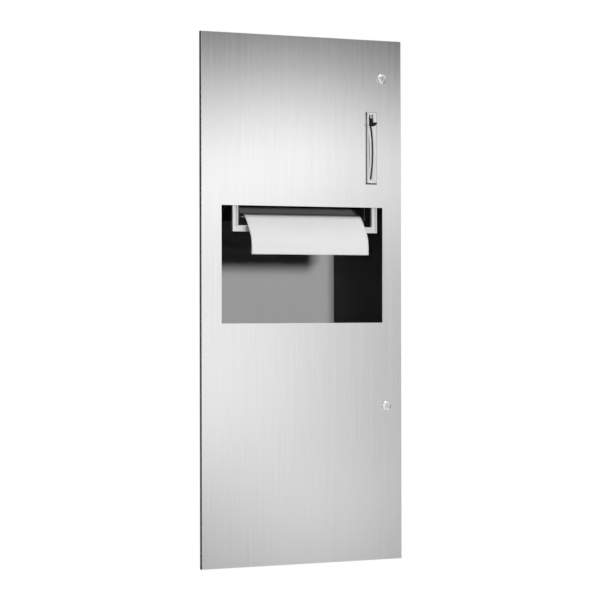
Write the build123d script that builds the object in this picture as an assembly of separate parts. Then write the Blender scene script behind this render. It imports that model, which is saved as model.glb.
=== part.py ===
from build123d import *
import math
import os

# Recessed roll towel dispenser with a waste receptacle below, behind one door. Millimetres.
# X runs to the right as seen from the room, Y into the wall, Z up. The origin lies in the plane of
# the finished wall, behind the middle of the door.

os.makedirs("parts", exist_ok=True)

# Sheet metal
cabinet_sheet = 1.2
door_sheet = 1.2
chassis_sheet = 1.5
guide_sheet = 1.2

# Cabinet in the wall
cabinet_width = 400.0
cabinet_height = 1003.0
cabinet_depth = 250.0
flange_inset = 1.5          # flange edge behind the door's edge
side_hole_radius = 3.5
side_hole_inset_y = 40.0    # from the wall's face and from the back
side_hole_inset_z = 101.5

# Door
door_overlap = 19.0         # beyond the cabinet on all four sides
door_depth = 7.2            # front face to the back edge of the returns
door_gap = 0.6              # returns to flange
door_edge_radius = 0.8
window_side = 42.5          # door's edge to the window
window_drop = 335.8         # door's top edge to the window
window_height = 230.2
cutout_width = 25.5
cutout_left_of_lever = 12.4
cutout_below_pivot = 64.9
cutout_above_pivot = 79.9

# Hinge, its axis inside the door's left return
hinge_in_x = 4.0            # axis to the door's left edge
hinge_in_y = 3.6            # axis to the door's front face
hinge_sheet = 0.9
hinge_barrel_radius = 2.2
hinge_pin_radius = 1.2
hinge_running = 0.05
hinge_inset = 20.5          # door's top and bottom edges to the hinge's ends
hinge_knuckles = 20
hinge_knuckle_gap = 0.4
hinge_leaf_width = 14.0
hinge_clearance = 0.6

# Locks
upper_lock_in_x = 44.2      # from the door's right edge
upper_lock_drop = 77.6      # from the door's top edge
lower_lock_in_x = 34.8
lower_lock_drop = 166.7     # below the window
lock_head_radius = 9.5
lock_head_proud = 5.0
lock_head_round = 3.2
lock_barrel_radius = 8.0
lock_barrel_length = 13.2   # behind the door's front face
lock_plug_radius = 5.0
lock_running = 0.05
lock_nut_thickness = 3.0
lock_nut_across = 22.0
keyway_width = 1.2
keyway_height = 6.0
keyway_depth = 6.0
cam_thickness = 2.0
cam_width = 12.0
cam_side_clearance = 2.0
cam_screw_head = 2.0
strike_sheet = 1.2
strike_lip = 5.8
strike_front = 1.6          # from the wall's face
strike_depth = 20.0
strike_height = 40.0

# Towel mechanism chassis
mechanism_x = 6.6
chassis_front = 8.0
chassis_below_window = 28.7
chassis_heel_rise = 26.0
chassis_top_gap = 45.3      # to the cabinet's top
chassis_brow_depth = 62.0
chassis_brow_height = 55.0
chassis_foot = 87.0
chassis_slant = 40.0
ear_rise = 3.3              # above the window's top edge
ear_height = 24.0
ear_reach = 19.7
chassis_screw_radius = 2.0
chassis_screw_head = 4.0
chassis_screw_in_x = 20.0
chassis_screw_in_z = 25.0

# Towel roll and web
towel_width = 256.0
roll_radius = 94.4
core_outer_radius = 21.0
core_wall = 1.8
web_thickness = 0.6
web_gap = 0.3               # web to anything that it runs past
roll_front_gap = 7.2        # wall's face to the full roll
roll_feed_gap = 14.2        # feed rollers up to the full roll
web_reach = 20.0            # web's end in front of the door's face
web_drop = 56.6             # web's end below the top of the frame's bar
web_frame_gap = 5.0

# Lever
lever_standoff = 5.6        # right chassis plate to the lever's middle
lever_sheet = 3.0
pivot_depth = 169.0         # from the wall's face
pivot_rise = 111.3          # above the window's top edge
pivot_radius = 6.0
pivot_running = 0.05
lever_bush_wall = 3.0
lever_hub_radius = 15.0
lever_hub_length = 7.0
lever_rest_angle = 19.3     # degrees above horizontal, towards the room
lever_stroke = 33.0
lever_tip_half = 5.5
lever_root_half = 11.0
grip_width = 8.0
grip_gap = 0.8              # grip to the guard's arch
grip_seat = 2.5             # arm's tip inside the grip
grip_above = 6.4            # from the arm's centre line at the slot
grip_below = 9.9
grip_shelf = 2.8
grip_proud = 1.0            # upright part in front of the door's face
grip_nose = 20.5            # nose in front of the door's face
tail_radius = 8.0
tail_y = 38.0
tail_z = -8.0
tail_hole_radius = 2.5
sector_spoke = 14.0         # hub to the sector's window

# Slotted lever guard
guard_sheet = 1.2
guard_arch_proud = 6.5      # arch in front of the door's face, at the pivot's height
guard_arch_side = 30.0      # the arch's side plates, inwards from its face
guard_slot_width = 4.0
guard_slot_below = 55.0     # from the pivot
guard_slot_above = 75.0
guard_inner_width = 10.0
guard_left_gap = 4.3        # plate to the door's cut-out
guard_right_gap = 0.5
guard_bottom_gap = 2.6
guard_top_gap = 0.5
guard_cheek_depth = 40.0
guard_border = 3.0          # plate beyond the end walls
guard_ledge_depth = 5.0     # strip behind the left gap, from the door's face
guard_ledge_overlap = 1.5
guard_screw_in_z = 22.0

# Gears
gear_centres = 138.0
sector_teeth = 123
pinion_teeth = 15
mesh_direction = 215.7      # degrees, pivot to pinion, from +Y towards +Z
sector_addendum = 0.4       # in modules
pinion_addendum = 1.0
gear_dedendum = 1.2
gear_backlash = 0.3
pressure_angle = 20.0
pinion_width = 6.0
sector_rim = 9.0
clutch_radius = 9.0
clutch_overhang = 0.6

# Rollers
feed_radius = 20.0
feed_shaft_radius = 5.0
pinch_radius = 12.0
pinch_shaft_radius = 4.0
roller_running = 0.05
sleeve_length = 50.0
sleeve_pitch = 86.0
sleeve_count = 3
bush_wall = 3.0
bush_flange = 3.0
bush_flange_thickness = 2.0
clip_thickness = 1.0
clip_width = 3.0
pinch_block = 14.0
pinch_block_length = 8.0
pinch_travel = 3.0
pinch_spring_space = 10.0
pinch_spring_radius = 4.0
pinch_spring_wire = 0.5

# Core plugs
plug_insert = 12.0
plug_plate_gap = 5.8        # plug flange to the chassis plate
plug_wall_gap = 7.3         # pulled-out knob to the cabinet's side
plug_clearance = 0.8        # to the inside of the core
plug_flange_radius = 26.0
plug_flange = 2.5
plug_end_gap = 1.0
plug_shaft_radius = 4.0
plug_running = 0.05
plug_release = 14.0
plug_hole_radius = 28.5
plug_bush_wall = 3.0
plug_bush_flange = 1.5
plug_knob_radius = 9.0
plug_knob_length = 9.0
plug_spring_radius = 8.0
plug_spring_wire = 0.7
bracket_width = 30.0
bracket_half = 36.0
bracket_foot = 14.0
plug_bolt_radius = 4.0
plug_boss_radius = 12.0
plug_nut_thickness = 3.2

# Towel frame
frame_below_window = 50.9
frame_bar = 11.8
frame_wall = 1.6
frame_depth = 7.0
frame_screw_radius = 2.0
frame_screw_head = 3.4

# Guides and tear bar
guide_gap = 1.2             # web to guide
lip_front = 10.0
lip_below_window = 19.5
guide_bend_y = 31.0
guide_flange = 12.0
guide_tab = 6.0             # upper guide's end tabs, along the slope
guide_front_gap = 2.2       # web's front turn to the upper guide's edge
guide_roller_gap = 1.5
tear_thickness = 1.3
tear_reach = 3.0
tear_depth = 18.0
tear_pitch = 6.0
tear_tooth = 3.0
cover_rise = 7.3            # above the window's top edge
cover_height = 54.0
cover_front = 10.0
cover_flange = 14.0

# Lever return spring
lever_spring_radius = 4.0
lever_spring_wire = 0.7
spring_post_drop = 100.0    # below the pivot
spring_post_radius = 3.0

# Waste bin
bin_side_gap = 15.0
bin_front = 14.0
bin_back_gap = 12.0
bin_below_window = 24.5
bin_wall = 2.5
bin_taper = 1.2
bin_corner = 18.0
bin_rim = 5.0
bin_rim_height = 6.0

# Places that follow from the sizes above
door_width = cabinet_width + 2 * door_overlap
door_height = cabinet_height + 2 * door_overlap
face_y = -(cabinet_sheet + door_gap + door_depth)
door_back_y = face_y + door_sheet
door_left, door_right = -door_width / 2, door_width / 2
door_top = door_height / 2
window_width = door_width - 2 * window_side
window_top = door_top - window_drop
window_bottom = window_top - window_height
hinge_length = door_height - 2 * hinge_inset
hinge_x = door_left + hinge_in_x
hinge_y = face_y + hinge_in_y
inside_x = cabinet_width / 2 - cabinet_sheet
inside_y = cabinet_depth - cabinet_sheet
inside_z = cabinet_height / 2 - cabinet_sheet
swept_radius = math.hypot(hinge_in_x, max(hinge_in_y, door_depth - hinge_in_y))
flange_front_rel = -cabinet_sheet - hinge_y
flange_left = hinge_x + hinge_clearance + math.sqrt(max(swept_radius**2 - flange_front_rel**2, 0))
flange_right = door_right - flange_inset
flange_z = door_top - flange_inset
lock_x = {"upper": door_right - upper_lock_in_x, "lower": door_right - lower_lock_in_x}
lock_z = {"upper": door_top - upper_lock_drop, "lower": window_bottom - lower_lock_drop}

roll_left = mechanism_x - towel_width / 2
roll_right = mechanism_x + towel_width / 2
plate_left = roll_left - plug_end_gap - plug_flange - plug_plate_gap        # inner faces
plate_right = roll_right + plug_end_gap + plug_flange + plug_plate_gap
plate_left_out = plate_left - chassis_sheet
plate_right_out = plate_right + chassis_sheet
chassis_back_y = inside_y - chassis_sheet
chassis_bottom = window_top - chassis_below_window
chassis_heel = chassis_bottom + chassis_heel_rise
chassis_top = inside_z - chassis_top_gap
ear_bottom = window_top + ear_rise
ear_top = ear_bottom + ear_height
frame_left = plate_left_out - ear_reach
frame_right = plate_right_out + ear_reach
frame_bottom = window_top - frame_below_window
lip_height = window_top - lip_below_window
cover_bottom = window_top + cover_rise
bin_top = window_bottom - bin_below_window
bracket_web_x = -inside_x + plug_wall_gap + plug_release + plug_knob_length + plug_bush_flange + chassis_sheet

lever_x = plate_right_out + lever_standoff
pivot_y, pivot_z = pivot_depth, window_top + pivot_rise
pivot = (pivot_y, pivot_z)
spring_post_z = pivot_z - spring_post_drop
cutout_left = lever_x - cutout_left_of_lever
cutout_right = cutout_left + cutout_width
cutout_bottom = pivot_z - cutout_below_pivot
cutout_top = pivot_z + cutout_above_pivot
gear_module = 2 * gear_centres / (sector_teeth + pinion_teeth)


def polar(origin, radius, degrees):
    """A (y, z) point at a distance and direction from another; 0 degrees is +Y and 90 is +Z."""
    angle = math.radians(degrees)
    return origin[0] + radius * math.cos(angle), origin[1] + radius * math.sin(angle)


# The web runs straight from the roll to the nip, touching the roll and the feed rollers on one side
feed_centre = polar(pivot, gear_centres, mesh_direction)
roll_centre = (roll_front_gap + roll_radius, feed_centre[1] + feed_radius + roll_feed_gap + roll_radius)
web_offset = web_gap + web_thickness / 2
centre_distance = math.dist(feed_centre, roll_centre)
centre_angle = math.atan2(roll_centre[1] - feed_centre[1], roll_centre[0] - feed_centre[0])
web_slope = math.degrees(centre_angle - math.asin((roll_radius - feed_radius) / centre_distance))
nip_direction = web_slope - 90                          # feed roller towards pinch roller
nip = polar(feed_centre, feed_radius + web_offset, nip_direction)
pinch_centre = polar(feed_centre, feed_radius + 2 * web_offset + pinch_radius, nip_direction)
web_start = polar(roll_centre, roll_radius + web_offset, nip_direction)
core_inner_radius = core_outer_radius - core_wall
plug_radius = core_inner_radius - plug_clearance
arm_direction = 180 - lever_rest_angle
guard_arch_radius = pivot_depth - face_y + guard_arch_proud
arm_tip = polar(pivot, guard_arch_radius + grip_gap + grip_seat, arm_direction)


# Basic solids, each given by where it starts and ends

def block(x, y, z):
    centre = [(low + high) / 2 for low, high in (x, y, z)]
    size = [high - low for low, high in (x, y, z)]
    return Pos(*centre) * Box(*size)


def rod_x(x, centre, radius):
    return Pos((x[0] + x[1]) / 2, *centre) * Rot(0, 90, 0) * Cylinder(radius, x[1] - x[0])


def rod_y(y, x, z, radius):
    return Pos(x, (y[0] + y[1]) / 2, z) * Rot(90, 0, 0) * Cylinder(radius, y[1] - y[0])


def rod_z(z, x, y, radius):
    return Pos(x, y, (z[0] + z[1]) / 2) * Cylinder(radius, z[1] - z[0])


def profile_yz(points, x):
    """A closed outline of (y, z) points, drawn out along X."""
    outline = make_face(Plane.YZ.offset(x[0]) * Polyline(*points, close=True))
    return extrude(outline, x[1] - x[0], dir=(1, 0, 0))


def profile_xy(points, z):
    outline = make_face(Plane.XY.offset(z[0]) * Polyline(*points, close=True))
    return extrude(outline, z[1] - z[0], dir=(0, 0, 1))


def ring_x(x, centre, outer, inner):
    return rod_x(x, centre, outer) - rod_x((x[0] - 1, x[1] + 1), centre, inner)


def ribbon(points, thickness):
    """The outline of a thin strip whose middle follows the points."""
    sides = []
    for side in (thickness / 2, -thickness / 2):
        edge = []
        for i, (y, z) in enumerate(points):
            before = points[max(i - 1, 0)]
            after = points[min(i + 1, len(points) - 1)]
            here = [math.atan2(b[1] - a[1], b[0] - a[0])
                    for a, b in ((before, points[i]), (points[i], after)) if a != b]
            normal = sum(here) / len(here) + math.pi / 2
            reach = side / math.cos((here[-1] - here[0]) / 2)
            edge.append((y + reach * math.cos(normal), z + reach * math.sin(normal)))
        sides.append(edge)
    return sides[0] + sides[1][::-1]


def coil(radius, wire, length, turns, place):
    """A round-wire helix along its own Z from 0 to length, then moved to its place."""
    path = Helix(pitch=length / turns, height=length, radius=radius)
    section = Plane(origin=path @ 0, z_dir=path % 0) * Circle(wire)
    return place * sweep(section, path=path, is_frenet=True)


def save(name, *solids):
    shape = solids[0] if len(solids) == 1 else Compound(children=list(solids))
    export_step(shape, f"parts/{name}.step")


# Cabinet

def cabinet_side(side):
    """A side wall with the flange that lies on the wall; side is -1 for left and 1 for right."""
    outer = side * cabinet_width / 2
    inner = side * inside_x
    edge = flange_left if side < 0 else flange_right
    wall = block(sorted((inner, outer)), (0, inside_y), (-cabinet_height / 2, cabinet_height / 2))
    flange = block(sorted((inner, edge)), (-cabinet_sheet, 0), (-flange_z, flange_z))
    wall += flange
    for y in (side_hole_inset_y, cabinet_depth - side_hole_inset_y):
        for z in (side_hole_inset_z - cabinet_height / 2, cabinet_height / 2 - side_hole_inset_z):
            wall -= rod_x((min(inner, outer) - 1, max(inner, outer) + 1), (y, z), side_hole_radius)
    return wall


def cabinet_end(side):
    """The top (side 1) or bottom (side -1) with its flange."""
    z_panel = sorted((side * inside_z, side * cabinet_height / 2))
    z_flange = sorted((side * inside_z, side * flange_z))
    panel = block((-inside_x, inside_x), (0, inside_y), z_panel)
    return panel + block((-inside_x, inside_x), (-cabinet_sheet, 0), z_flange)


def chassis_screw_places():
    for x in (plate_left + chassis_screw_in_x, plate_right - chassis_screw_in_x):
        for z in (chassis_heel + chassis_screw_in_z, chassis_top - chassis_screw_in_z):
            yield x, z


def cabinet_back():
    panel = block((-cabinet_width / 2, cabinet_width / 2), (inside_y, cabinet_depth),
                  (-cabinet_height / 2, cabinet_height / 2))
    for x, z in chassis_screw_places():
        panel -= rod_y((inside_y - 1, cabinet_depth + 1), x, z, chassis_screw_radius)
    return panel


def strike(which):
    """The keeper behind which a lock cam turns, on the right side wall."""
    z = lock_z[which] - strike_height / 2, lock_z[which] + strike_height / 2
    back = strike_front + strike_depth
    foot = block((inside_x - strike_sheet, inside_x), (strike_front, back), z)
    lip = block((inside_x - strike_lip, inside_x), (strike_front, strike_front + strike_sheet), z)
    return foot + lip


# Hinge

def knuckles(first):
    """Height spans of every second knuckle, starting at the given one."""
    pitch = hinge_length / hinge_knuckles
    for i in range(first, hinge_knuckles, 2):
        low = -hinge_length / 2 + i * pitch
        yield low + hinge_knuckle_gap / 2, low + pitch - hinge_knuckle_gap / 2


def hinge_leaf_door():
    back = door_back_y
    front = back + hinge_sheet
    strip_start = hinge_x + hinge_barrel_radius + hinge_clearance
    leaf = block((strip_start, hinge_x + hinge_leaf_width), (back, front),
                 (-hinge_length / 2, hinge_length / 2))
    for z in knuckles(0):
        leaf += block((hinge_x, strip_start), (back, front), z)
        leaf += rod_z(z, hinge_x, hinge_y, hinge_barrel_radius)
    return leaf - rod_z((-hinge_length, hinge_length), hinge_x, hinge_y, hinge_pin_radius + hinge_running)


def hinge_leaf_cabinet():
    step_x = hinge_x + swept_radius + hinge_clearance
    step = (step_x, step_x + hinge_sheet)
    on_flange = (-cabinet_sheet - hinge_sheet, -cabinet_sheet)
    span = (-hinge_length / 2, hinge_length / 2)
    leaf = block((step_x, flange_left + hinge_leaf_width), on_flange, span)
    leaf += block(step, (hinge_y, -cabinet_sheet), span)
    for z in knuckles(1):
        leaf += block((hinge_x, step[1]), (hinge_y, hinge_y + hinge_sheet), z)
        leaf += rod_z(z, hinge_x, hinge_y, hinge_barrel_radius)
    return leaf - rod_z((-hinge_length, hinge_length), hinge_x, hinge_y, hinge_pin_radius)


def hinge_pin():
    return rod_z((-hinge_length / 2, hinge_length / 2), hinge_x, hinge_y, hinge_pin_radius)


# Door and locks

def door_panel():
    full_z = (-door_height / 2, door_height / 2)
    pan = block((door_left, door_right), (face_y, face_y + door_depth), full_z)
    front_edges = pan.faces().sort_by(Axis.Y)[0].edges()
    pan = fillet(front_edges, min(door_edge_radius, door_sheet * 0.9))
    pan -= block((door_left + door_sheet, door_right - door_sheet), (door_back_y, face_y + door_depth + 1),
                 (full_z[0] + door_sheet, full_z[1] - door_sheet))
    through = (face_y - 1, door_back_y + 1)
    pan -= block((-window_width / 2, window_width / 2), through, (window_bottom, window_top))
    pan -= block((cutout_left, cutout_right), through, (cutout_bottom, cutout_top))
    for which in lock_x:
        pan -= rod_y(through, lock_x[which], lock_z[which], lock_barrel_radius)
    return pan


def lock_body(which):
    """Round head with a turned-down rim, and the barrel behind the door."""
    x, z = lock_x[which], lock_z[which]
    head = rod_y((face_y - lock_head_proud, face_y), x, z, lock_head_radius)
    rim = head.edges().filter_by(GeomType.CIRCLE).sort_by(Axis.Y)[0]
    head = fillet(rim, min(lock_head_round, lock_head_proud * 0.9))
    body = head + rod_y((face_y, face_y + lock_barrel_length), x, z, lock_barrel_radius)
    through = (face_y - lock_head_proud - 1, face_y + lock_barrel_length + 1)
    return body - rod_y(through, x, z, lock_plug_radius + lock_running)


def lock_nut(which):
    x, z = lock_x[which], lock_z[which]
    y = (door_back_y, door_back_y + lock_nut_thickness)
    hexagon = Pos(x, z) * RegularPolygon(lock_nut_across / 2, 6, major_radius=False)
    nut = extrude(Plane.XZ.offset(-y[0]) * hexagon, y[1] - y[0], dir=(0, 1, 0))
    return nut - rod_y((y[0] - 1, y[1] + 1), x, z, lock_barrel_radius)


def lock_plug(which):
    x, z = lock_x[which], lock_z[which]
    front = face_y - lock_head_proud + 0.4
    plug = rod_y((front, face_y + lock_barrel_length), x, z, lock_plug_radius)
    return plug - block((x - keyway_width / 2, x + keyway_width / 2), (front - 1, front + keyway_depth),
                        (z - keyway_height / 2, z + keyway_height / 2))


def lock_cam(which):
    """Flat cam with a rounded tip, hanging down beside its strike when unlocked."""
    x, z = lock_x[which], lock_z[which]
    y = (face_y + lock_barrel_length, face_y + lock_barrel_length + cam_thickness)
    reach = inside_x - cam_side_clearance - x
    arm = block((x - cam_width / 2, x + cam_width / 2), y, (z - reach, z)) & rod_y(y, x, z, reach)
    return arm + rod_y(y, x, z, max(cam_width / 2, lock_plug_radius + 1))


def cam_screw(which):
    x, z = lock_x[which], lock_z[which]
    back = face_y + lock_barrel_length + cam_thickness
    head = rod_y((back, back + cam_screw_head), x, z, lock_plug_radius * 0.8)
    drive = block((x - lock_plug_radius * 0.6, x + lock_plug_radius * 0.6),
                  (back + cam_screw_head / 2, back + cam_screw_head + 1), (z - 0.5, z + 0.5))
    return head - drive


# Chassis of the towel mechanism

def chassis_back():
    plate = block((plate_left_out, plate_right_out), (chassis_back_y, inside_y), (chassis_heel, chassis_top))
    for x, z in chassis_screw_places():
        plate -= rod_y((chassis_back_y - 1, inside_y + 1), x, z, chassis_screw_radius)
    return plate


def chassis_screws():
    screws = []
    for x, z in chassis_screw_places():
        head = rod_y((chassis_back_y - chassis_screw_radius, chassis_back_y), x, z, chassis_screw_head)
        screws.append(head + rod_y((chassis_back_y, cabinet_depth), x, z, chassis_screw_radius))
    return screws


def pinch_slot(x):
    """The slot in which a pinch bearing block slides, with room for its spring."""
    length = pinch_block + pinch_travel + pinch_spring_space
    centre = polar(pinch_centre, (length - pinch_block) / 2, nip_direction)
    slot = Box(x[1] - x[0] + 2, length, pinch_block)
    return Pos((x[0] + x[1]) / 2, *centre) * Rot(nip_direction, 0, 0) * slot


def chassis_side(side):
    """A side plate with an ear at the front that carries the towel frame."""
    x = (plate_left_out, plate_left) if side < 0 else (plate_right, plate_right_out)
    through = (x[0] - 1, x[1] + 1)
    foot = chassis_front + chassis_foot
    plate = profile_yz([(chassis_front, chassis_bottom), (foot, chassis_bottom),
                        (foot + chassis_slant, chassis_heel), (chassis_back_y, chassis_heel),
                        (chassis_back_y, chassis_top), (chassis_front + chassis_brow_depth, chassis_top),
                        (chassis_front, chassis_top - chassis_brow_height)], x)
    plate += block(x, (0, chassis_front), (ear_bottom, ear_top))
    frame_edge = frame_left if side < 0 else frame_right
    ear = sorted((x[0] if side < 0 else x[1], frame_edge))
    plate += block(ear, (0, chassis_sheet), (ear_bottom, ear_top))
    plate -= rod_x(through, feed_centre, feed_shaft_radius + bush_wall)
    plate -= pinch_slot(x)
    plate -= frame_screw_hole(side)
    if side < 0:
        return plate - rod_x(through, roll_centre, plug_hole_radius)
    plate -= rod_x(through, roll_centre, plug_bolt_radius)
    plate -= rod_x(through, pivot, pivot_radius)
    return plate - rod_x(through, spring_post_centre(), spring_post_radius)


# Towel frame, guides and tear bar

def frame_screw_place(side):
    middle = frame_left + frame_bar / 2 if side < 0 else frame_right - frame_bar / 2
    return middle, (ear_bottom + ear_top) / 2


def frame_screw_hole(side):
    x, z = frame_screw_place(side)
    return rod_y((-frame_wall - 1, chassis_sheet + 1), x, z, frame_screw_radius)


def towel_frame():
    """U-shaped channel, open towards the room."""
    def u_shape(inset, y, top):
        left, right = frame_left + inset, frame_right - inset
        width = frame_bar - 2 * inset
        low = frame_bottom + inset
        arms = [block((left, left + width), y, (low, top)), block((right - width, right), y, (low, top))]
        return arms[0] + arms[1] + block((left, right), y, (low, low + width))

    frame = u_shape(0, (-frame_depth, 0), ear_top)
    frame -= u_shape(frame_wall, (-frame_depth - 1, -frame_wall), ear_top + 1)
    for side in (-1, 1):
        frame -= frame_screw_hole(side)
    return frame


def frame_screws():
    screws = []
    for side in (-1, 1):
        x, z = frame_screw_place(side)
        head = rod_y((-frame_wall - frame_screw_radius, -frame_wall), x, z, frame_screw_head)
        screws.append(head + rod_y((-frame_wall, chassis_sheet), x, z, frame_screw_radius))
    return screws


def web_middle():
    """Middle line of the towel web, from the roll through the nip and out over the tear bar."""
    bend = polar(nip, -(nip[0] - guide_bend_y) / math.cos(math.radians(web_slope)), web_slope)
    hang = frame_bottom + frame_bar
    tear_edge = lip_front - tear_reach
    return [web_start, bend, (tear_edge + web_thickness, lip_height + guide_gap),
            (tear_edge - web_frame_gap, lip_height - 2 * guide_gap), (-frame_depth - web_frame_gap, hang),
            (face_y - 0.6 * web_reach, hang - 0.24 * web_drop),
            (face_y - 0.95 * web_reach, hang - 0.36 * web_drop),
            (face_y - web_reach, hang - 0.7 * web_drop), (face_y - web_reach, hang - web_drop)]


def paper_web():
    return profile_yz(ribbon(web_middle(), web_thickness), (roll_left, roll_right))


def lower_guide():
    """Chute plate under the web, from the nip to the lip, with end flanges on the chassis plates."""
    below = guide_gap + (web_thickness + guide_sheet) / 2
    along = polar(nip, -(nip[0] - guide_bend_y) / math.cos(math.radians(web_slope)), web_slope)
    bend = along[0] + below / 3, along[1] - below
    start = polar(polar(nip, -pinch_radius - 2, web_slope), -below, web_slope + 90)
    lip = (lip_front, lip_height - guide_sheet / 2)
    plate = profile_yz(ribbon([start, bend, lip], guide_sheet), (plate_left, plate_right))
    for x in ((plate_left, plate_left + guide_sheet), (plate_right - guide_sheet, plate_right)):
        plate += profile_yz([bend, start, (start[0], start[1] - guide_flange),
                             (bend[0], bend[1] - guide_flange / 2)], x)
    return plate


def upper_guide():
    """Plate over the web from the feed roller to the tear bar, held by tabs at its upper end."""
    above = web_gap + (web_thickness + guide_sheet) / 2
    start = math.sqrt((feed_radius + guide_roller_gap) ** 2 - (feed_radius + web_offset - above) ** 2)
    first, tab = [polar(polar(nip, -reach, web_slope), above, web_slope + 90)
                  for reach in (start, start + guide_tab)]
    web_bend, web_edge = web_middle()[1:3]
    fall = math.degrees(math.atan2(web_bend[1] - web_edge[1], web_bend[0] - web_edge[0]))
    half_turn = math.radians(web_slope - fall) / 2
    bend = polar(web_bend, above / math.cos(half_turn), (web_slope + fall) / 2 + 90)
    edge = polar(polar(web_edge, guide_front_gap, fall), above, fall + 90)
    plate = profile_yz(ribbon([first, bend, edge], guide_sheet), (roll_left, roll_right))
    return plate + profile_yz(ribbon([first, tab], guide_sheet), (plate_left, plate_right))


def tear_bar():
    """Serrated strip under the guide's lip."""
    z = (lip_height - guide_sheet - tear_thickness, lip_height - guide_sheet)
    root = lip_front - tear_reach + tear_tooth
    back = lip_front + tear_depth
    left, right = roll_left - tear_pitch / 2, roll_right + tear_pitch / 2
    count = int((right - left) // tear_pitch)
    start = (left + right - count * tear_pitch) / 2
    points = [(right, root), (right, back), (left, back), (left, root)]
    for i in range(count):
        points += [(start + i * tear_pitch + 0.01, root), (start + (i + 0.5) * tear_pitch, root - tear_tooth)]
    points.append((start + count * tear_pitch - 0.01, root))
    return profile_xy(points, z)


def front_cover():
    """Plate in front of the feed roller."""
    z = (cover_bottom, cover_bottom + cover_height)
    cover = block((plate_left, plate_right), (cover_front, cover_front + guide_sheet), z)
    for x in ((plate_left, plate_left + guide_sheet), (plate_right - guide_sheet, plate_right)):
        cover += block(x, (cover_front, cover_front + cover_flange), z)
    return cover


# Towel roll and core plugs

def paper_roll():
    return ring_x((roll_left, roll_right), roll_centre, roll_radius, core_outer_radius)


def roll_core():
    return ring_x((roll_left, roll_right), roll_centre, core_outer_radius, core_inner_radius)


def plug_body(flange_x, into):
    """A core plug: a flange and the tapered part that enters the core; into is 1 for +X."""
    near = flange_x + into * plug_flange
    tip = near + into * (plug_insert + plug_end_gap)
    flange = rod_x(sorted((flange_x, near)), roll_centre, plug_flange_radius)
    plug = rod_x(sorted((near, tip)), roll_centre, plug_radius)
    end = plug.edges().filter_by(GeomType.CIRCLE).sort_by(Axis.X)[-1 if into > 0 else 0]
    return flange + chamfer(end, min(plug_insert / 3, plug_radius / 3))


def left_core_plug():
    """Plug that pulls out to the left, with its shaft."""
    start = roll_left - plug_end_gap - plug_flange
    knob_start = bracket_web_x - chassis_sheet - plug_bush_flange
    shaft = rod_x((knob_start - plug_knob_length, start), roll_centre, plug_shaft_radius)
    return plug_body(start, 1) + shaft


def plug_knob():
    right = bracket_web_x - chassis_sheet - plug_bush_flange - 0.5
    x = (right - plug_knob_length + 0.5, right)
    knob = rod_x(x, roll_centre, plug_knob_radius)
    knob = fillet(knob.edges().filter_by(GeomType.CIRCLE), plug_knob_radius * 0.15)
    return knob - rod_x((x[0] - 1, x[1] + 1), roll_centre, plug_shaft_radius)


def plug_bracket():
    """Bridge outside the left plate that guides the sprung plug."""
    y = (roll_centre[0] - bracket_width / 2, roll_centre[0] + bracket_width / 2)
    web = (bracket_web_x - chassis_sheet, bracket_web_x)
    bridge = block(web, y, (roll_centre[1] - bracket_half, roll_centre[1] + bracket_half))
    for side in (-1, 1):
        edge = roll_centre[1] + side * bracket_half
        leg = sorted((edge, edge - side * chassis_sheet))
        foot = sorted((edge - side * chassis_sheet, edge + side * bracket_foot))
        bridge += block((web[0], plate_left_out), y, leg)
        bridge += block((plate_left_out - chassis_sheet, plate_left_out), y, foot)
    return bridge - rod_x((web[0] - 1, web[1] + 1), roll_centre, plug_shaft_radius + plug_bush_wall)


def plug_bush():
    web = (bracket_web_x - chassis_sheet, bracket_web_x)
    outer = plug_shaft_radius + plug_bush_wall
    bush = rod_x((web[0] - plug_bush_flange, web[1]), roll_centre, outer)
    bush += rod_x((web[1], web[1] + plug_bush_flange), roll_centre, outer + plug_bush_flange)
    return bush - rod_x((web[0] - 5, web[1] + 5), roll_centre, plug_shaft_radius + plug_running)


def plug_spring():
    start = bracket_web_x + plug_bush_flange + plug_spring_wire
    end = roll_left - plug_end_gap - plug_flange - plug_spring_wire
    place = Pos(start, *roll_centre) * Rot(0, 90, 0)
    return coil(plug_spring_radius, plug_spring_wire, end - start, 7, place)


def right_core_plug():
    start = roll_right + plug_end_gap + plug_flange
    boss = rod_x((start, plate_right), roll_centre, plug_boss_radius)
    tip = roll_right - plug_insert - 1
    return plug_body(start, -1) + boss - rod_x((tip, plate_right + 1), roll_centre, plug_bolt_radius)


def right_plug_bolt():
    tip = roll_right - plug_insert + 2
    end = plate_right_out + plug_nut_thickness
    hexagon = Pos(*roll_centre) * RegularPolygon(plug_bolt_radius * 1.7, 6, major_radius=False)
    nut = extrude(Plane.YZ.offset(plate_right_out) * hexagon, plug_nut_thickness, dir=(1, 0, 0))
    return rod_x((tip, end), roll_centre, plug_bolt_radius) + nut


# Rollers

def shaft_bush(side, centre, shaft_radius):
    """A flanged bush in a chassis plate, flange inside."""
    inner = plate_left if side < 0 else plate_right
    outer = plate_left_out if side < 0 else plate_right_out
    bore = shaft_radius + roller_running
    bush = rod_x(sorted((inner, outer)), centre, shaft_radius + bush_wall)
    flange = sorted((inner, inner - side * bush_flange_thickness))
    bush += rod_x(flange, centre, shaft_radius + bush_wall + bush_flange)
    return bush - rod_x((min(flange[0], outer) - 1, max(flange[1], outer) + 1), centre, bore)


def feed_bushes():
    return [shaft_bush(side, feed_centre, feed_shaft_radius) for side in (-1, 1)]


def pinion_x():
    return lever_x - pinion_width / 2, lever_x + pinion_width / 2


def feed_shaft():
    end = pinion_x()[1] + clutch_overhang + clip_thickness + 1.5
    return rod_x((plate_left_out - clip_thickness - 2, end), feed_centre, feed_shaft_radius)


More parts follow.
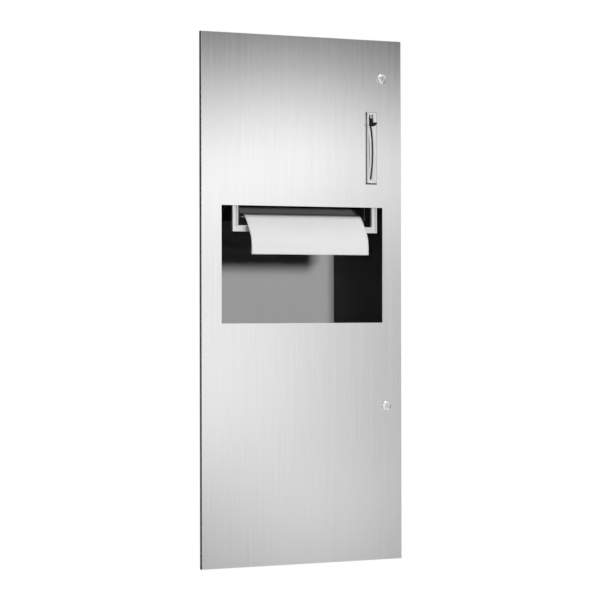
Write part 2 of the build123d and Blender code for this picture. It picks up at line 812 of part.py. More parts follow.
def feed_clips():
    left = plate_left_out - clip_thickness - 0.3
    right = pinion_x()[1] + clutch_overhang + 0.3
    return [ring_x((x, x + clip_thickness), feed_centre, feed_shaft_radius + clip_width, feed_shaft_radius)
            for x in (left, right)]


def sleeves(centre, outer, inner):
    rings = []
    for i in range(sleeve_count):
        middle = mechanism_x + (i - (sleeve_count - 1) / 2) * sleeve_pitch
        span = (middle - sleeve_length / 2, middle + sleeve_length / 2)
        rings.append(ring_x(span, centre, outer, inner))
    return rings


def pinch_shaft():
    return rod_x((plate_left_out, plate_right_out), pinch_centre, pinch_shaft_radius)


def pinch_bearings():
    blocks = []
    width = pinch_block - 2 * roller_running
    for side in (-1, 1):
        outer = plate_left_out if side < 0 else plate_right_out
        x = sorted((outer, outer - side * pinch_block_length))
        body = Rot(nip_direction, 0, 0) * Box(x[1] - x[0], width, width)
        bore = rod_x((x[0] - 1, x[1] + 1), pinch_centre, pinch_shaft_radius + roller_running)
        blocks.append(Pos((x[0] + x[1]) / 2, *pinch_centre) * body - bore)
    return blocks


def pinch_springs():
    coils = []
    start = polar(pinch_centre, pinch_block / 2 + pinch_spring_wire, nip_direction)
    length = pinch_travel + pinch_spring_space - 2 * pinch_spring_wire
    for side in (-1, 1):
        x = (plate_left + plate_left_out) / 2 if side < 0 else (plate_right + plate_right_out) / 2
        place = Pos(x - side * pinch_spring_radius, *start) * Rot(nip_direction - 90, 0, 0)
        coils.append(coil(pinch_spring_radius, pinch_spring_wire, length, 6, place))
    return coils


# Lever drive

def tooth_flank(teeth, addendum):
    """(radius, half angle) points of one flank of an involute tooth, from root to tip."""
    pitch = gear_module * teeth / 2
    base = pitch * math.cos(math.radians(pressure_angle))
    tip = pitch + addendum * gear_module
    root = pitch - gear_dedendum * gear_module

    def involute(radius):
        angle = math.acos(min(base / radius, 1))
        return math.tan(angle) - angle

    half = (math.pi * gear_module / 2 - gear_backlash) / (2 * pitch)
    start = max(base, root)
    radii = [start + (tip - start) * i / 4 for i in range(5)]
    flank = [(radius, half + involute(pitch) - involute(radius)) for radius in radii]
    return [(root, flank[0][1])] * (root < base) + flank


def tooth_points(centre, middle, flank):
    """Outline of one tooth around a direction in degrees, anticlockwise."""
    up = [polar(centre, radius, middle - math.degrees(half)) for radius, half in flank]
    down = [polar(centre, radius, middle + math.degrees(half)) for radius, half in flank]
    return up + down[::-1]


def drive_pinion():
    """Its gap faces the sector at rest."""
    flank = tooth_flank(pinion_teeth, pinion_addendum)
    points = []
    for i in range(pinion_teeth):
        middle = mesh_direction + 180 + (i + 0.5) * 360 / pinion_teeth
        points += tooth_points(feed_centre, middle, flank)
    return profile_yz(points, pinion_x()) - rod_x((lever_x - pinion_width, lever_x + pinion_width),
                                                  feed_centre, clutch_radius)


def one_way_clutch():
    x = (pinion_x()[0] - clutch_overhang, pinion_x()[1] + clutch_overhang)
    return ring_x(x, feed_centre, clutch_radius, feed_shaft_radius + roller_running)


def sector_outline():
    """Fan with teeth on its rim; a tooth meets the pinion at rest."""
    flank = tooth_flank(sector_teeth, sector_addendum)
    pitch = 360 / sector_teeth
    before = math.ceil(lever_stroke / pitch) + 2
    points = []
    for i in range(-before, 3):
        points += tooth_points(pivot, mesh_direction + i * pitch, flank)
    low = mesh_direction - (before + 0.5) * pitch
    high = mesh_direction + 2.5 * pitch
    return low, high, points


def arm_strip(x):
    """The tapering arm between the hub and the grip."""
    root_half = math.degrees(math.asin(min(lever_root_half / lever_hub_radius, 1)))
    return profile_yz([polar(pivot, lever_hub_radius, arm_direction - root_half),
                       polar(arm_tip, lever_tip_half, arm_direction - 90),
                       polar(arm_tip, lever_tip_half, arm_direction + 90),
                       polar(pivot, lever_hub_radius, arm_direction + root_half)], x)


def lever_arm():
    """One plate: hub, arm to the grip, toothed sector and the tail that the spring pulls."""
    x = (lever_x - lever_sheet / 2, lever_x + lever_sheet / 2)
    low, high, teeth = sector_outline()
    root = gear_module * (sector_teeth / 2 - gear_dedendum)
    fan = profile_yz([pivot, polar(pivot, root, low)] + teeth + [polar(pivot, root, high)], x)
    inner = root - sector_rim
    middle = (low + high) / 2
    spread = (high - low) / 2 - 7
    near = lever_hub_radius + sector_spoke
    window = [polar(pivot, near, middle - spread * 0.45), polar(pivot, inner, middle - spread),
              polar(pivot, inner + 3, middle), polar(pivot, inner, middle + spread),
              polar(pivot, near, middle + spread * 0.45)]
    fan -= profile_yz(window, (x[0] - 1, x[1] + 1))
    tail = (pivot_y + tail_y, pivot_z + tail_z)
    hub_half, tail_half = lever_hub_radius * 0.8, tail_radius * 0.95
    strip = profile_yz([(pivot_y, pivot_z + hub_half), (tail[0], tail[1] + tail_half),
                        (tail[0], tail[1] - tail_half), (pivot_y, pivot_z - hub_half)], x)
    hub_x = (lever_x - lever_hub_length / 2, lever_x + lever_hub_length / 2)
    lever = fan + arm_strip(x) + strip + rod_x(x, tail, tail_radius) + rod_x(hub_x, pivot, lever_hub_radius)
    lever -= rod_x((x[0] - 1, x[1] + 1), tail, tail_hole_radius)
    return lever - rod_x((hub_x[0] - 1, hub_x[1] + 1), pivot, pivot_radius + pivot_running + lever_bush_wall)


def lever_bush():
    x = (lever_x - lever_hub_length / 2 - 0.4, lever_x + lever_hub_length / 2 + 0.4)
    bore = pivot_radius + pivot_running
    return ring_x(x, pivot, bore + lever_bush_wall, bore)


def lever_pivot_stud():
    end = lever_x + lever_hub_length / 2 + 0.7 + clip_thickness + 1
    head = rod_x((plate_right - bush_flange_thickness, plate_right), pivot, pivot_radius + 4)
    return head + rod_x((plate_right, end), pivot, pivot_radius)


def lever_clip():
    start = lever_x + lever_hub_length / 2 + 0.7
    return ring_x((start, start + clip_thickness), pivot, pivot_radius + clip_width, pivot_radius)


def lever_grip():
    """Moulded grip on the arm's tip: an upright part that follows the arch, and a nose towards the room."""
    x = (lever_x - grip_width / 2, lever_x + grip_width / 2)
    back_radius = guard_arch_radius + grip_gap
    middle = polar(pivot, back_radius, arm_direction)[1]
    low, high = middle - grip_below, middle + grip_above
    shelf = middle - grip_shelf
    front, nose = face_y - grip_proud, face_y - grip_nose
    outline = []
    for i in range(7):
        z = low + 1.5 + (high - low - 1.5) * i / 6
        outline.append((pivot_y - math.sqrt(back_radius**2 - (z - pivot_z) ** 2), z))
    outline += [(front, high), (front, shelf), (nose + 0.7, shelf - 0.5), (nose, shelf - 1.7),
                (nose + 0.7, shelf - 3.0), ((front + nose) / 2, low), (front, low + 0.5)]
    grip = profile_yz(outline, x)
    grip = chamfer(grip.faces().filter_by(Axis.X).edges(), grip_width * 0.1)
    return grip - arm_strip((lever_x - lever_sheet / 2, lever_x + lever_sheet / 2))


def spring_post_centre():
    return pivot_y + tail_y, spring_post_z


def spring_post():
    end = lever_x + lever_spring_radius + 3
    return rod_x((plate_right, end), spring_post_centre(), spring_post_radius)


def lever_spring():
    """Extension spring from the post up to the lever's tail, a loop at each end."""
    y = pivot_y + tail_y
    hole_z = pivot_z + tail_z
    ring = lever_spring_radius
    top_z = hole_z - 1.5 - ring
    bottom_z = spring_post_z
    low, high = bottom_z + ring + 1, top_z - ring - 1
    turns = 14
    body = coil(lever_spring_radius, lever_spring_wire, high - low, turns, Pos(lever_x, y, low))
    upper = Pos(lever_x, y, top_z) * Rot(90, 0, 0) * Torus(ring, lever_spring_wire)
    lower = Pos(lever_x, y, bottom_z) * Rot(0, 90, 0) * Torus(ring, lever_spring_wire)
    links = []
    for z_coil, z_ring in ((low, bottom_z + ring), (high, top_z - ring)):
        middle = (z_coil + z_ring) / 2
        links.append(rod_z(sorted((z_coil, middle)), lever_x + ring, y, lever_spring_wire))
        links.append(rod_x((lever_x, lever_x + ring), (y, middle), lever_spring_wire))
        links.append(rod_z(sorted((middle, z_ring)), lever_x, y, lever_spring_wire))
    for link in [upper, lower] + links:
        body += link
    return body


# Slotted guard around the lever

def guard_box():
    """The guard's plate in the door's cut-out: X, Z spans."""
    x = (cutout_left + guard_left_gap, cutout_right - guard_right_gap)
    return x, (cutout_bottom + guard_bottom_gap, cutout_top - guard_top_gap)


def guard_arch(x, z, outer, inner):
    """The part towards the room of a ring about the lever's pivot, between two heights."""
    ring = ring_x(x, pivot, outer, inner)
    return ring & block((x[0] - 1, x[1] + 1), (face_y - outer, pivot_y - outer / 2), z)


def lever_guard():
    """Flat plate in the cut-out, and through it the slotted arch in which the lever travels."""
    plate_x, plate_z = guard_box()
    left = (plate_right_out, plate_right_out + guard_sheet)
    right = (left[1] + guard_inner_width, left[1] + guard_inner_width + guard_sheet)
    low, high = plate_z[0] + guard_border, plate_z[1] - guard_border
    inner_z = (low + guard_sheet, high - guard_sheet)
    across = (left[1], right[0])
    plate = block(plate_x, (face_y, face_y + guard_sheet), plate_z)
    plate -= block((left[0], right[1]), (face_y - 1, face_y + 2 * guard_sheet), (low, high))
    guard = plate + guard_arch(across, inner_z, guard_arch_radius, guard_arch_radius - guard_sheet)
    solid_arch = (guard_arch_radius, guard_arch_radius - guard_arch_side)
    for cheek, depth in ((left, guard_cheek_depth), (right, guard_cheek_depth / 2)):
        guard += block(cheek, (face_y, face_y + depth), (low, high))
        guard += guard_arch(cheek, inner_z, *solid_arch)
    ledge_y = (face_y + guard_ledge_depth, face_y + guard_ledge_depth + guard_sheet)
    guard += block((cutout_left - guard_ledge_overlap, left[1]), ledge_y, plate_z)
    for z in ((low, inner_z[0]), (inner_z[1], high)):
        guard += block(across, (face_y, face_y + guard_cheek_depth / 2), z)
    slot = (lever_x - guard_slot_width / 2, lever_x + guard_slot_width / 2)
    arch_front, arch_back = pivot_y - guard_arch_radius - 1, pivot_y - guard_arch_radius / 2
    guard -= block(slot, (arch_front, arch_back), (pivot_z - guard_slot_below, pivot_z + guard_slot_above))
    for y, z in guard_screw_places():
        guard -= rod_x((left[0] - 1, left[1] + 1), (y, z), frame_screw_radius)
    return guard


def guard_screw_places():
    low, high = guard_box()[1]
    y = (chassis_front + face_y + guard_cheek_depth) / 2
    return [(y, low + guard_screw_in_z), (y, high - guard_screw_in_z)]


def guard_screws():
    head_x = (plate_right_out + guard_sheet, plate_right_out + guard_sheet + 1.4)
    shank_x = (plate_right_out, head_x[0])
    return [rod_x(head_x, place, frame_screw_head) + rod_x(shank_x, place, frame_screw_radius)
            for place in guard_screw_places()]


# Waste bin

def waste_bin():
    """Open-topped liner that narrows towards its floor, with a rolled rim."""
    width = 2 * (inside_x - bin_side_gap)
    depth = inside_y - bin_back_gap - bin_front
    middle_y = bin_front + depth / 2
    height = bin_top + inside_z

    def body(inset, top, tall):
        outline = RectangleRounded(width - 2 * inset, depth - 2 * inset, max(bin_corner - inset, 1))
        return extrude(Pos(0, middle_y, top) * outline, tall, dir=(0, 0, -1), taper=bin_taper)

    shell = body(0, bin_top, height)
    rim = RectangleRounded(width + 2 * bin_rim, depth + 2 * bin_rim, bin_corner + bin_rim)
    shell += extrude(Pos(0, middle_y, bin_top) * rim, bin_rim_height, dir=(0, 0, -1))
    return shell - body(bin_wall, bin_top, height - bin_wall)


save("cabinet_back", cabinet_back())
save("cabinet_left_side", cabinet_side(-1))
save("cabinet_right_side", cabinet_side(1))
save("cabinet_top", cabinet_end(1))
save("cabinet_bottom", cabinet_end(-1))
save("hinge_leaf_cabinet", hinge_leaf_cabinet())
save("hinge_leaf_door", hinge_leaf_door())
save("hinge_pin", hinge_pin())
save("door_panel", door_panel())
for which in lock_x:
    save(f"{which}_strike", strike(which))
    save(f"{which}_lock_body", lock_body(which))
    save(f"{which}_lock_nut", lock_nut(which))
    save(f"{which}_lock_plug", lock_plug(which))
    save(f"{which}_lock_cam", lock_cam(which))
    save(f"{which}_cam_screw", cam_screw(which))
save("chassis_back", chassis_back())
save("chassis_left_plate", chassis_side(-1))
save("chassis_right_plate", chassis_side(1))
save("chassis_screws", *chassis_screws())
save("towel_frame", towel_frame())
save("trim_screws", *frame_screws(), *guard_screws())
save("lower_guide", lower_guide())
save("tear_bar", tear_bar())
save("upper_guide", upper_guide())
save("front_cover", front_cover())
save("paper_web", paper_web())
save("paper_roll", paper_roll())
save("roll_core", roll_core())
save("left_core_plug", left_core_plug())
save("plug_knob", plug_knob())
save("plug_bracket", plug_bracket())
save("plug_bush", plug_bush())
save("plug_spring", plug_spring())
save("right_core_plug", right_core_plug())
save("right_plug_bolt", right_plug_bolt())
save("feed_bushes", *feed_bushes())
save("feed_shaft", feed_shaft())
save("feed_sleeves", *sleeves(feed_centre, feed_radius, feed_shaft_radius))
save("feed_clips", *feed_clips())
save("pinch_shaft", pinch_shaft())
save("pinch_sleeves", *sleeves(pinch_centre, pinch_radius, pinch_shaft_radius))
save("pinch_bearings", *pinch_bearings())
save("pinch_springs", *pinch_springs())
save("drive_pinion", drive_pinion())
save("one_way_clutch", one_way_clutch())
save("lever_arm", lever_arm())
save("lever_bush", lever_bush())
save("lever_grip", lever_grip())
save("lever_pivot_stud", lever_pivot_stud())
save("lever_clip", lever_clip())
save("lever_guard", lever_guard())
save("lever_spring", lever_spring())
save("spring_post", spring_post())
save("waste_bin", waste_bin())
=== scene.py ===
import math

import bmesh
import bpy
from mathutils import Matrix, Vector


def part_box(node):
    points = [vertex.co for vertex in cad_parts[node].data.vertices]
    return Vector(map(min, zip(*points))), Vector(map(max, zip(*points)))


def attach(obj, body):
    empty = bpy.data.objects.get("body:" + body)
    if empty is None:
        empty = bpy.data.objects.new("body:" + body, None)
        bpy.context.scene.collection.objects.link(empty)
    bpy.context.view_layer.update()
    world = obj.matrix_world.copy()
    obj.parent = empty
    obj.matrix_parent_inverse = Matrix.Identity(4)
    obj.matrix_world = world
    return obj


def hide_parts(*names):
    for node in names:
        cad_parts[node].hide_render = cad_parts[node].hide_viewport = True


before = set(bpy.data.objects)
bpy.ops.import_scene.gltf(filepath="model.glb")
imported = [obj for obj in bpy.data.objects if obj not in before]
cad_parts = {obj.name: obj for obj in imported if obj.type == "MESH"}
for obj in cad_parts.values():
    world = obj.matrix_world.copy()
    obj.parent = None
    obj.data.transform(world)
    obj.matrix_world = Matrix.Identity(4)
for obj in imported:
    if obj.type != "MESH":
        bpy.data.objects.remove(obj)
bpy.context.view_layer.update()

# Recessed roll towel dispenser in brushed stainless steel: finishes, the hanging towel, and the studio.
# Metres; X runs to the right as seen from the room, Y into the wall, Z up. The wall's face is at Y 0.

# Places on the object
DOOR_LOW, DOOR_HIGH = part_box("door_panel")
WEB_LOW, WEB_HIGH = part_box("paper_web")
ROLL_LOW, ROLL_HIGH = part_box("paper_roll")
ROLL_CENTRE = (ROLL_LOW + ROLL_HIGH) / 2
ROLL_HALF_LENGTH = (ROLL_HIGH.x - ROLL_LOW.x) / 2
CABINET_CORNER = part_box("cabinet_back")[1]
GUARD_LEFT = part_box("lever_guard")[0].x

# Painted shade: heights on the cabinet's back where it turns darker, and the ledge at the left of the lever
# guard
BACK_SHADE_STARTS, BACK_SHADE_FULL = 0.100, 0.118
LEDGE_FRONT_Y, LEDGE_FULL_Y = -0.0065, -0.0045
LEDGE_WIDTH = 0.0059
LEDGE_FADE = 0.0005

# Towel, with its route as (Y, Z): off the roll, through the nip, over the tear bar and out of the window
SHEET_THICKNESS = 0.0006
SHEET_POINTS_ACROSS = 65
STEPS_PER_SPAN = 6
ROUTE_FROM_ROLL = ((0.1595, 0.2691), (0.0693, 0.1995), (0.0440, 0.1799), (0.0310, 0.1699), (0.0195, 0.1673),
                   (0.0076, 0.1664), (0.0020, 0.1628), (-0.0120, 0.1456), (-0.0210, 0.1320),
                   (-0.0270, 0.1190))
HANGS_STRAIGHT_FROM_Z = 0.1050

# Embossed dots: radians per metre, for waves 3.3 mm long, and per radian round the roll
DOT_RATE = 1900
DOT_RATE_ROUND_ROLL = 165

# Camera: its place, its angles in degrees, its lens and sensor in millimetres
CAMERA_PLACE = (-1.9355, -3.9616, -0.0087)
CAMERA_TURN = 26.0
CAMERA_TILT = 0.114
CAMERA_ROLL = -0.103
CAMERA_LENS = 133.896
CAMERA_SENSOR = 36.0
CAMERA_SEES_TO = 100.0

# Stage: a wall on the door's left, a floor, two black strips at the door's left edge (a flag, and a painted
# shadow in the gap), and a card in the room
WHITE = (1.0, 1.0, 1.0)
WALL_Y = -0.0004
WALL_LEFT, WALL_RIGHT = -0.335, DOOR_LOW.x + 0.0005
WALL_HALF_HEIGHT = 0.512
FLOOR_Z = -0.85
FLOOR_HALF = 1.45
FLAG_Y = -0.001
FLAG_LEFT, FLAG_RIGHT = -0.231, DOOR_LOW.x - 0.0006
FLAG_HALF_HEIGHT = 0.6
SHADE_Y = -0.0006
SHADE_LEFT, SHADE_RIGHT = DOOR_LOW.x - 0.0005, -0.2115
SOFTBOX_Y = -3.96
SOFTBOX_LEFT, SOFTBOX_RIGHT = -3.0, 4.4
SOFTBOX_HALF_HEIGHT = 2.4

# Light: lamps in watts, and the world's strength
LAMPS = {
    "key": {"place": (-0.043, -3.01, 0.345), "target": (0.135, -0.03, 0.09), "size": (0.45, 0.10),
            "power": 59.0, "slant": 40.0},
    "top_fill": {"place": (0.0, -1.0, 2.4), "target": (0, -0.03, 0.12), "size": (0.9, 0.5),
                 "power": 14.0, "mirrored": True},
    "rear_left": {"place": (-2.2, 2.6, 1.6), "target": (0, 0.2, 0), "size": (1.6, 1.2), "power": 60.0},
    "rear_right": {"place": (2.4, 1.9, 0.9), "target": (0, 0.2, 0), "size": (1.4, 1.0), "power": 35.0},
}
WORLD_ON_MATT = 0.014
WORLD_LOW_IN_GLOSS, WORLD_HIGH_IN_GLOSS = 0.30, 0.92
WORLD_DARKENED_BY = 0.92

# Sockets of a Mix node that mixes colours
MIX_FACTOR, MIX_FIRST, MIX_SECOND, MIX_RESULT = 0, 6, 7, 2


class Value:
    """A socket that carries a number. Each operator or call on it adds Math nodes."""

    def __init__(self, finish, socket):
        self.finish = finish
        self.socket = socket

    def _math(self, operation, *others, clamp=False):
        settings = {"operation": operation, "use_clamp": clamp}
        return self.finish.add("ShaderNodeMath", settings, dict(enumerate((self,) + others)))["Value"]

    def __add__(self, other):
        return self._math("ADD", other)

    __radd__ = __add__

    def __sub__(self, other):
        return self._math("SUBTRACT", other)

    def __rsub__(self, other):
        return self * -1 + other

    def __mul__(self, other):
        return self._math("MULTIPLY", other)

    __rmul__ = __mul__

    def __truediv__(self, other):
        return self._math("DIVIDE", other)

    def __rtruediv__(self, other):
        return self ** -1 * other

    def __pow__(self, other):
        return self._math("POWER", other)

    def __neg__(self):
        return self * -1

    def __abs__(self):
        return self._math("ABSOLUTE")

    def __mod__(self, other):
        return self._math("FLOORED_MODULO", other)

    def most(self, other):
        """The larger of the two."""
        return self._math("MAXIMUM", other)

    def wave(self, rate):
        """The sine of this value times rate."""
        return (self * rate)._math("SINE")

    def angle_from(self, other):
        """The angle whose tangent is this value over the other."""
        return self._math("ARCTAN2", other)

    def clipped(self):
        """Held between 0 and 1."""
        return self._math("MULTIPLY", 1.0, clamp=True)

    def ramp(self, low, high):
        """0 up to low, 1 from high on, smooth between; high may be the smaller one."""
        share = ((self - low) / (high - low)).clipped()
        return share * share * (3 - 2 * share)

    def band(self, low, full, full_to, high):
        """0 up to low, 1 from full to full_to, 0 again from high on."""
        return self.ramp(low, full) * self.ramp(high, full_to)


class Outputs:
    """The outputs of one node, by name; numbers come out as Value."""

    def __init__(self, finish, node):
        self.finish = finish
        self.node = node

    def __getitem__(self, name):
        socket = self.node.outputs[name]
        return Value(self.finish, socket) if socket.type == "VALUE" else socket


class Finish:
    """The node tree of one material or of the world."""

    def __init__(self, owner):
        self.owner = owner
        owner.use_nodes = True
        self.tree = owner.node_tree
        self.tree.nodes.clear()

    def add(self, kind, settings=None, values=None):
        """One node: first its settings, then the values or links of its sockets."""
        node = self.tree.nodes.new(kind)
        for name, setting in (settings or {}).items():
            setattr(node, name, setting)
        for name, value in (values or {}).items():
            if isinstance(value, Value):
                value = value.socket
            if isinstance(value, bpy.types.NodeSocket):
                self.tree.links.new(value, node.inputs[name])
            else:
                node.inputs[name].default_value = value
        return Outputs(self, node)

    def place(self):
        """Position on the object, in metres, that moves with the piece."""
        return self.add("ShaderNodeTexCoord")["Object"]

    def split(self, vector):
        parts = self.add("ShaderNodeSeparateXYZ", None, {"Vector": vector})
        return parts["X"], parts["Y"], parts["Z"]

    def join(self, x, y, z):
        return self.add("ShaderNodeCombineXYZ", None, {"X": x, "Y": y, "Z": z})["Vector"]

    def stretched(self, vector, scale):
        settings = {"operation": "MULTIPLY"}
        return self.add("ShaderNodeVectorMath", settings, {0: vector, 1: scale})["Vector"]

    def noise(self, vector, scale=1.0, detail=2.0):
        values = {"Vector": vector, "Scale": scale, "Detail": detail}
        return self.add("ShaderNodeTexNoise", None, values)["Fac"]

    def grain(self, scale, detail):
        """Noise drawn out along the axes with the small numbers of scale."""
        return self.noise(self.stretched(self.place(), scale), detail=detail)

    def blend(self, factor, first, second):
        """From the first colour to the second; each is a tuple or a link."""
        first, second = ((*end, 1.0) if isinstance(end, tuple) else end for end in (first, second))
        values = {MIX_FACTOR: factor, MIX_FIRST: first, MIX_SECOND: second}
        return self.add("ShaderNodeMix", {"data_type": "RGBA"}, values).node.outputs[MIX_RESULT]

    def bump(self, height, distance, strength=1.0):
        values = {"Height": height, "Distance": distance, "Strength": strength}
        return self.add("ShaderNodeBump", None, values)["Normal"]

    def matt(self, colour):
        return self.add("ShaderNodeBsdfDiffuse", None, {"Color": colour})["BSDF"]

    def white_light(self, strength):
        return self.add("ShaderNodeEmission", None, {"Color": (*WHITE, 1), "Strength": strength})["Emission"]

    def mix(self, share, first, second):
        return self.add("ShaderNodeMixShader", None, {0: share, 1: first, 2: second})["Shader"]

    def done(self, shader):
        """The material, with this shader at its output."""
        self.add("ShaderNodeOutputMaterial", None, {"Surface": shader})
        return self.owner

    def surface(self, values):
        """The material, with a Principled shader of these values at its output."""
        return self.done(self.add("ShaderNodeBsdfPrincipled", None, values)["BSDF"])


def new_finish(name):
    return Finish(bpy.data.materials.new(name))


def level(grey):
    """The same value in all three channels."""
    return (grey, grey, grey)


# Finishes

def brushed_door_steel():
    """Stainless steel brushed up and down, with long faint streaks."""
    f = new_finish("brushed_door_steel")
    fine = f.grain((2600, 300, 9), detail=3)
    streak = f.grain((160, 40, 2.4), detail=2)
    line = f.grain((330, 40, 8), detail=2)
    broad = f.grain((7, 7, 1.4), detail=1)
    tone = 0.15 * fine + 0.40 * streak + 0.30 * line + 0.15 * broad
    colour = f.blend(tone, (0.665, 0.665, 0.663), (0.835, 0.835, 0.833))
    return f.surface({"Base Color": colour, "Metallic": 1.0, "Anisotropic": 0.5,
                      "Roughness": 0.14 + 0.06 * streak, "Normal": f.bump(fine, 0.00002)})


def satin_cabinet_steel():
    """Mill-finish sheet outside. Inside, the back panel is painted grey; painted shade makes the sides, top
    and bottom near black and the back's upper part darker grey."""
    f = new_finish("satin_cabinet_steel")
    x, y, z = f.split(f.place())
    # How deep a point lies behind the cabinet's outer faces; its sheet is 1.2 mm thick
    past_side = CABINET_CORNER.x - abs(x)
    past_back = CABINET_CORNER.y - y
    past_end = CABINET_CORNER.z - abs(z)
    inside = past_side.ramp(0.0004, 0.0008) * past_back.ramp(0.0006, 0.0010) * past_end.ramp(0.0005, 0.0009)
    walls = inside * past_side.ramp(0.0025, 0.0018).most(past_end.ramp(0.0030, 0.0023))
    grain = f.grain((60, 60, 3), detail=3)
    mottle = f.noise(f.place(), 9, detail=3)
    tone = 0.6 * grain + 0.4 * mottle
    steel = f.blend(tone, level(0.52), level(0.60))
    grey = f.blend(tone, level(0.54), level(0.58))
    # Painted shade: the back's upper part is darker grey, and the sides, top and bottom inside are near black
    back_grey_with_painted_shade = f.blend(z.ramp(BACK_SHADE_STARTS, BACK_SHADE_FULL), grey, level(0.26))
    inside_colour_with_painted_shade = f.blend(walls, back_grey_with_painted_shade, level(0.065))
    return f.surface({"Base Color": f.blend(inside, steel, inside_colour_with_painted_shade), "Metallic": 1 - inside,
                      "Roughness": 0.34 + 0.08 * grain + 0.2 * inside, "Specular IOR Level": 0.08,
                      "Normal": f.bump(grain, 0.00003)})


def towel_frame_steel():
    """Pale satin sheet, its grain running up."""
    f = new_finish("towel_frame_steel")
    grain = f.grain((900, 200, 14), detail=2)
    return f.surface({"Base Color": f.blend(grain, level(0.78), level(0.86)), "Metallic": 0.6,
                      "Roughness": 0.30 + 0.06 * grain, "Normal": f.bump(grain, 0.00002)})


def guard_satin_steel():
    """Pale satin sheet around the lever, its grain running up; the ledge at its left is darker with painted
    shade.
    """
    f = new_finish("guard_satin_steel")
    x, y, z = f.split(f.place())
    ledge_end = GUARD_LEFT + LEDGE_WIDTH
    # Painted shade on the ledge at the guard's left, behind the gap
    ledge = y.ramp(LEDGE_FRONT_Y, LEDGE_FULL_Y) * x.ramp(ledge_end + LEDGE_FADE, ledge_end)
    grain = f.grain((1400, 300, 12), detail=3)
    colour = f.blend(ledge, f.blend(grain, level(0.80), level(0.88)), level(0.42))
    return f.surface({"Base Color": colour, "Metallic": 0.35, "Roughness": 0.34 + 0.08 * grain,
                      "Normal": f.bump(grain, 0.00002)})


def hinge_steel():
    """Plain steel with rolling marks across it."""
    f = new_finish("hinge_steel")
    rolled = f.grain((30, 30, 400), detail=2)
    return f.surface({"Base Color": f.blend(rolled, level(0.5), level(0.62)), "Metallic": 1.0,
                      "Roughness": 0.28 + 0.1 * rolled, "Normal": f.bump(rolled, 0.00003)})


def lock_chrome():
    """Bright plating with faint marks."""
    f = new_finish("lock_chrome")
    marks = f.grain((700, 60, 700), detail=2)
    return f.surface({"Base Color": f.blend(marks, level(0.88), level(0.95)), "Metallic": 0.86,
                      "Roughness": 0.08 + 0.08 * marks, "Normal": f.bump(marks, 0.00001)})


def zinc_plate():
    """Cloudy grey plating with a warm tinge."""
    f = new_finish("zinc_plate")
    place = f.place()
    cloud = f.noise(place, 260, detail=3)
    broad = f.noise(place, 40, detail=2)
    colour = f.blend(0.5 * cloud + 0.5 * broad, (0.50, 0.50, 0.48), (0.66, 0.65, 0.61))
    return f.surface({"Base Color": colour, "Metallic": 1.0, "Roughness": 0.30 + 0.18 * cloud,
                      "Normal": f.bump(cloud, 0.00004)})


def black_chassis_paint():
    """Matt black powder coat with a fine orange peel."""
    f = new_finish("black_chassis_paint")
    place = f.place()
    peel = f.noise(place, 700, detail=2)
    dust = f.noise(place, 30, detail=4)
    colour = f.blend(dust, (0.044, 0.044, 0.045), (0.060, 0.060, 0.061))
    return f.surface({"Base Color": colour, "Roughness": 0.62 + 0.1 * dust,
                      "Specular IOR Level": 0.25, "Normal": f.bump(peel, 0.00006)})


def guide_grey_painted_shade():
    """Dark grey that stands in as painted shade under the door's top, rubbed lighter in streaks along X."""
    f = new_finish("guide_grey_painted_shade")
    peel = f.noise(f.place(), 600, detail=2)
    worn = f.grain((8, 120, 120), detail=3)
    # Painted shade: the plate's dark grey stands in for shade under the door's top
    return f.surface({"Base Color": f.blend(worn, level(0.15), level(0.19)), "Roughness": 0.6 + 0.1 * worn,
                      "Specular IOR Level": 0.3, "Normal": f.bump(peel, 0.00005)})


def black_grip_plastic():
    """Dull black moulding with a fine grain and slight rubbed patches."""
    f = new_finish("black_grip_plastic")
    place = f.place()
    grain = f.noise(place, 1500, detail=2)
    rub = f.noise(place, 90, detail=2)
    return f.surface({"Base Color": f.blend(rub, level(0.006), level(0.012)), "Roughness": 0.5 + 0.16 * rub,
                      "Specular IOR Level": 0.15, "Normal": f.bump(grain, 0.00008)})


def bearing_acetal():
    """Cream bearing plastic."""
    f = new_finish("bearing_acetal")
    place = f.place()
    grain = f.noise(place, 900, detail=2)
    tint = f.noise(place, 60, detail=2)
    colour = f.blend(tint, (0.74, 0.73, 0.67), (0.82, 0.81, 0.76))
    return f.surface({"Base Color": colour, "Roughness": 0.38 + 0.1 * tint, "Normal": f.bump(grain, 0.00003)})


def roller_rubber():
    """Ground rubber with fine rings around the sleeve and a paper-dust bloom."""
    f = new_finish("roller_rubber")
    place = f.place()
    x, y, z = f.split(place)
    rings = x.wave(5200) * 0.5 + 0.5
    dust = f.noise(place, 120, detail=4)
    colour = f.blend(dust.ramp(0.4, 0.75), level(0.030), level(0.070))
    return f.surface({"Base Color": colour, "Roughness": 0.72 + 0.14 * dust,
                      "Specular IOR Level": 0.3, "Normal": f.bump(rings, 0.00008, 0.5)})


def spring_wire():
    """Drawn steel wire."""
    f = new_finish("spring_wire")
    drawn = f.noise(f.place(), 800, detail=2)
    return f.surface({"Base Color": f.blend(drawn, level(0.38), level(0.5)), "Metallic": 1.0,
                      "Roughness": 0.22 + 0.12 * drawn})


